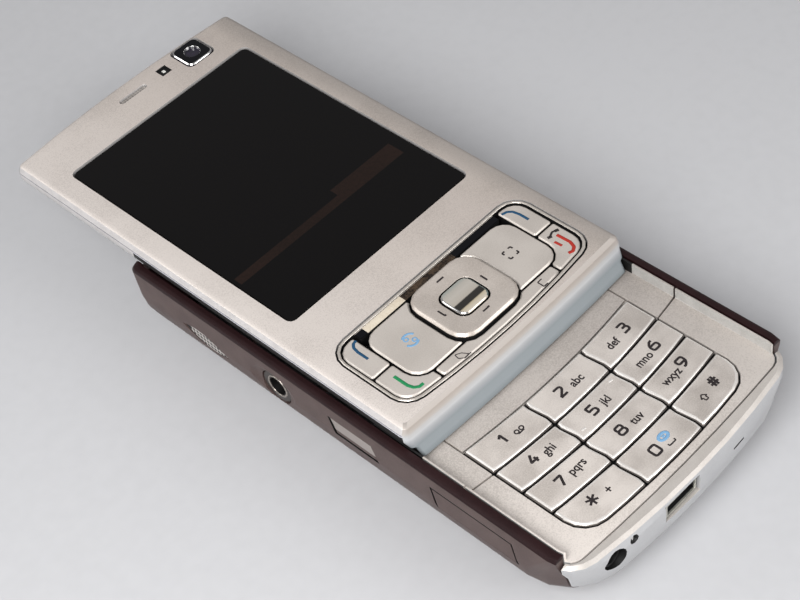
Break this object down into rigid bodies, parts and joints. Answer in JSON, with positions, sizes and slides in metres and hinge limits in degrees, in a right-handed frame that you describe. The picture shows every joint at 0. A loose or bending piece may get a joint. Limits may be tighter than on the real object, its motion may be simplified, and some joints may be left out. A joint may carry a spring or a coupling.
{
  "type": "slider phone",
  "caption": "Slider phone whose display half slides up over a curved number keypad and down over media keys.",
  "frame": {"origin": "centre of the base half's flat back, on the battery cover's outer face", "axes": "+X to the right seen from the front, +Y along the slide towards the display's top, +Z out of the front"},
  "size_m": [0.0534, 0.1296, 0.0214],
  "materials": {
    "base_housing": "dark plum, satin",
    "battery": "wrapped cell, plain",
    "end_cap": "pale silver paint, satin",
    "main_board": "circuit board with parts",
    "upper_bezel": "warm silver paint, satin",
    "lower_bezel": "warm silver paint, satin",
    "keypad_strip": "warm silver paint, satin",
    "keypad_mat": "grey silicone",
    "slide_carriage": "pressed steel",
    "media_panel": "dark plum, satin",
    "headset_jack": "black, matt",
    "usb_socket": "pressed steel",
    "charger_socket": "pressed steel",
    "infrared_window": "smoked plastic, gloss",
    "left_speaker": "black, matt",
    "right_speaker": "black, matt",
    "rear_camera": "black, matt",
    "camera_lens": "coated lens, gloss",
    "flash_window": "clear diffuser, gloss",
    "front_housing": "warm silver paint, satin",
    "slide_plate": "pressed steel",
    "display_window": "black display window, gloss",
    "lcd_module": "display module, satin",
    "earpiece": "black, matt",
    "front_camera": "bright plating",
    "cluster_frame": "bright plating",
    "slider_board": "circuit board with parts",
    "key_1": "warm silver keycap, satin",
    "key_2": "warm silver keycap, satin",
    "key_3": "warm silver keycap, satin",
    "key_4": "warm silver keycap, satin",
    "key_5": "warm silver keycap, satin",
    "key_6": "warm silver keycap, satin",
    "key_7": "warm silver keycap, satin",
    "key_8": "warm silver keycap, satin",
    "key_9": "warm silver keycap, satin",
    "key_star": "warm silver keycap, satin",
    "key_0": "warm silver keycap, satin",
    "key_hash": "warm silver keycap, satin",
    "rewind_key": "black, matt",
    "play_key": "black, matt",
    "forward_key": "black, matt",
    "stop_key": "black, matt",
    "camera_key": "dark plum, satin",
    "power_key": "dark plum, satin",
    "volume_rocker": "dark plum, satin",
    "card_door": "dark plum, satin",
    "battery_cover": "dark plum, satin",
    "lens_ring": "pressed steel",
    "lens_blade": "black, matt",
    "soft_key_left": "warm silver keycap, satin",
    "soft_key_right": "warm silver keycap, satin",
    "call_key": "warm silver keycap, satin",
    "end_key": "warm silver keycap, satin",
    "multimedia_key": "warm silver keycap, satin",
    "menu_key": "warm silver keycap, satin",
    "edit_clear_key": "warm silver keycap, satin",
    "nav_pad": "grey silicone",
    "nav_ring": "warm silver keycap, satin",
    "centre_key": "bright plating"
  },
  "bodies": {
    "base": {"base_housing": "base_housing", "battery": "battery", "end_cap": "end_cap", "main_board": "main_board", "upper_bezel": "upper_bezel", "lower_bezel": "lower_bezel", "keypad_strip": "keypad_strip", "keypad_mat": "keypad_mat", "slide_carriage": "slide_carriage", "media_panel": "media_panel", "headset_jack": "headset_jack", "usb_socket": "usb_socket", "charger_socket": "charger_socket", "infrared_window": "infrared_window", "left_speaker": "left_speaker", "right_speaker": "right_speaker", "rear_camera": "rear_camera", "camera_lens": "camera_lens", "flash_window": "flash_window"},
    "slider": {"front_housing": "front_housing", "slide_plate": "slide_plate", "display_window": "display_window", "lcd_module": "lcd_module", "earpiece": "earpiece", "front_camera": "front_camera", "cluster_frame": "cluster_frame", "slider_board": "slider_board"},
    "key_1": {"key_1": "key_1"},
    "key_2": {"key_2": "key_2"},
    "key_3": {"key_3": "key_3"},
    "key_4": {"key_4": "key_4"},
    "key_5": {"key_5": "key_5"},
    "key_6": {"key_6": "key_6"},
    "key_7": {"key_7": "key_7"},
    "key_8": {"key_8": "key_8"},
    "key_9": {"key_9": "key_9"},
    "key_star": {"key_star": "key_star"},
    "key_0": {"key_0": "key_0"},
    "key_hash": {"key_hash": "key_hash"},
    "rewind_key": {"rewind_key": "rewind_key"},
    "play_key": {"play_key": "play_key"},
    "forward_key": {"forward_key": "forward_key"},
    "stop_key": {"stop_key": "stop_key"},
    "camera_key": {"camera_key": "camera_key"},
    "power_key": {"power_key": "power_key"},
    "volume_rocker": {"volume_rocker": "volume_rocker"},
    "card_door": {"card_door": "card_door"},
    "battery_cover": {"battery_cover": "battery_cover"},
    "lens_ring": {"lens_ring": "lens_ring"},
    "lens_blade": {"lens_blade": "lens_blade"},
    "soft_key_left": {"soft_key_left": "soft_key_left"},
    "soft_key_right": {"soft_key_right": "soft_key_right"},
    "call_key": {"call_key": "call_key"},
    "end_key": {"end_key": "end_key"},
    "multimedia_key": {"multimedia_key": "multimedia_key"},
    "menu_key": {"menu_key": "menu_key"},
    "edit_clear_key": {"edit_clear_key": "edit_clear_key"},
    "nav_pad": {"nav_pad": "nav_pad"},
    "nav_ring": {"nav_ring": "nav_ring"},
    "centre_key": {"centre_key": "centre_key"}
  },
  "joints": [
    {"name": "slider_travel", "type": "slide", "parent": "base", "child": "slider", "axis": [0, 1, 0], "range_m": [-0.043, 0]},
    {"name": "key_1_press", "type": "slide", "parent": "base", "child": "key_1", "axis": [0, 0, -1], "range_m": [0, 0.00025], "stiffness_N_per_m": 400},
    {"name": "key_2_press", "type": "slide", "parent": "base", "child": "key_2", "axis": [0, 0, -1], "range_m": [0, 0.00025], "stiffness_N_per_m": 400},
    {"name": "key_3_press", "type": "slide", "parent": "base", "child": "key_3", "axis": [0, 0, -1], "range_m": [0, 0.00025], "stiffness_N_per_m": 400},
    {"name": "key_4_press", "type": "slide", "parent": "base", "child": "key_4", "axis": [0, 0, -1], "range_m": [0, 0.00025], "stiffness_N_per_m": 400},
    {"name": "key_5_press", "type": "slide", "parent": "base", "child": "key_5", "axis": [0, 0, -1], "range_m": [0, 0.00025], "stiffness_N_per_m": 400},
    {"name": "key_6_press", "type": "slide", "parent": "base", "child": "key_6", "axis": [0, 0, -1], "range_m": [0, 0.00025], "stiffness_N_per_m": 400},
    {"name": "key_7_press", "type": "slide", "parent": "base", "child": "key_7", "axis": [0, 0, -1], "range_m": [0, 0.00025], "stiffness_N_per_m": 400},
    {"name": "key_8_press", "type": "slide", "parent": "base", "child": "key_8", "axis": [0, 0, -1], "range_m": [0, 0.00025], "stiffness_N_per_m": 400},
    {"name": "key_9_press", "type": "slide", "parent": "base", "child": "key_9", "axis": [0, 0, -1], "range_m": [0, 0.00025], "stiffness_N_per_m": 400},
    {"name": "key_star_press", "type": "slide", "parent": "base", "child": "key_star", "axis": [0, 0, -1], "range_m": [0, 0.00025], "stiffness_N_per_m": 400},
    {"name": "key_0_press", "type": "slide", "parent": "base", "child": "key_0", "axis": [0, 0, -1], "range_m": [0, 0.00025], "stiffness_N_per_m": 400},
    {"name": "key_hash_press", "type": "slide", "parent": "base", "child": "key_hash", "axis": [0, 0, -1], "range_m": [0, 0.00025], "stiffness_N_per_m": 400},
    {"name": "rewind_key_press", "type": "slide", "parent": "base", "child": "rewind_key", "axis": [0, 0, -1], "range_m": [0, 0.00025], "stiffness_N_per_m": 400},
    {"name": "play_key_press", "type": "slide", "parent": "base", "child": "play_key", "axis": [0, 0, -1], "range_m": [0, 0.00025], "stiffness_N_per_m": 400},
    {"name": "forward_key_press", "type": "slide", "parent": "base", "child": "forward_key", "axis": [0, 0, -1], "range_m": [0, 0.00025], "stiffness_N_per_m": 400},
    {"name": "stop_key_press", "type": "slide", "parent": "base", "child": "stop_key", "axis": [0, 0, -1], "range_m": [0, 0.00025], "stiffness_N_per_m": 400},
    {"name": "camera_key_press", "type": "slide", "parent": "base", "child": "camera_key", "axis": [-1, 0, 0], "range_m": [0, 0.00025], "stiffness_N_per_m": 400},
    {"name": "power_key_press", "type": "slide", "parent": "base", "child": "power_key", "axis": [0, -1, 0], "range_m": [0, 0.00025], "stiffness_N_per_m": 400},
    {"name": "volume_rocker_tilt", "type": "hinge", "parent": "base", "child": "volume_rocker", "pos_m": [0.02445, 0.0135, 0.0106], "axis": [0, 0, 1], "range_deg": [-1.5, 1.5], "stiffness_Nm_per_rad": 0.05},
    {"name": "card_door_swing", "type": "hinge", "parent": "base", "child": "card_door", "pos_m": [-0.0265, -0.0365, 0.011], "axis": [0, 0, 1], "range_deg": [0, 95]},
    {"name": "battery_cover_lift", "type": "slide", "parent": "base", "child": "battery_cover", "axis": [0, 0, -1], "range_m": [0, 0.015]},
    {"name": "lens_ring_turn", "type": "hinge", "parent": "base", "child": "lens_ring", "pos_m": [0, 0.0293, 0.0002], "axis": [0, 0, 1], "range_deg": [0, 35]},
    {"name": "lens_blade_turn", "type": "hinge", "parent": "base", "child": "lens_blade", "pos_m": [0.0046, 0.0293, 0.0017], "axis": [0, 0, 1], "range_deg": [0, 80]},
    {"name": "soft_key_left_press", "type": "slide", "parent": "slider", "child": "soft_key_left", "axis": [0, 0, -1], "range_m": [0, 0.00025], "stiffness_N_per_m": 400},
    {"name": "soft_key_right_press", "type": "slide", "parent": "slider", "child": "soft_key_right", "axis": [0, 0, -1], "range_m": [0, 0.00025], "stiffness_N_per_m": 400},
    {"name": "call_key_press", "type": "slide", "parent": "slider", "child": "call_key", "axis": [0, 0, -1], "range_m": [0, 0.00025], "stiffness_N_per_m": 400},
    {"name": "end_key_press", "type": "slide", "parent": "slider", "child": "end_key", "axis": [0, 0, -1], "range_m": [0, 0.00025], "stiffness_N_per_m": 400},
    {"name": "multimedia_key_press", "type": "slide", "parent": "slider", "child": "multimedia_key", "axis": [0, 0, -1], "range_m": [0, 0.00025], "stiffness_N_per_m": 400},
    {"name": "menu_key_press", "type": "slide", "parent": "slider", "child": "menu_key", "axis": [0, 0, -1], "range_m": [0, 0.00025], "stiffness_N_per_m": 400},
    {"name": "edit_clear_key_rock", "type": "hinge", "parent": "slider", "child": "edit_clear_key", "pos_m": [0, -0.0113, 0.01795], "axis": [0, 1, 0], "range_deg": [-1, 1], "stiffness_Nm_per_rad": 0.05},
    {"name": "nav_pad_tilt", "type": "hinge", "parent": "slider", "child": "nav_pad", "pos_m": [0, -0.00385, 0.01795], "axis": [0, 1, 0], "range_deg": [-1.5, 1.5], "stiffness_Nm_per_rad": 0.05},
    {"name": "nav_ring_tilt", "type": "hinge", "parent": "nav_pad", "child": "nav_ring", "pos_m": [0, -0.00385, 0.01875], "axis": [1, 0, 0], "range_deg": [-1.5, 1.5], "stiffness_Nm_per_rad": 0.05},
    {"name": "centre_key_press", "type": "slide", "parent": "slider", "child": "centre_key", "axis": [0, 0, -1], "range_m": [0, 0.00025], "stiffness_N_per_m": 400}
  ],
  "couplings": [
    {"joint": "lens_blade_turn", "follows": "lens_ring_turn", "ratio": 2.2857}
  ]
}
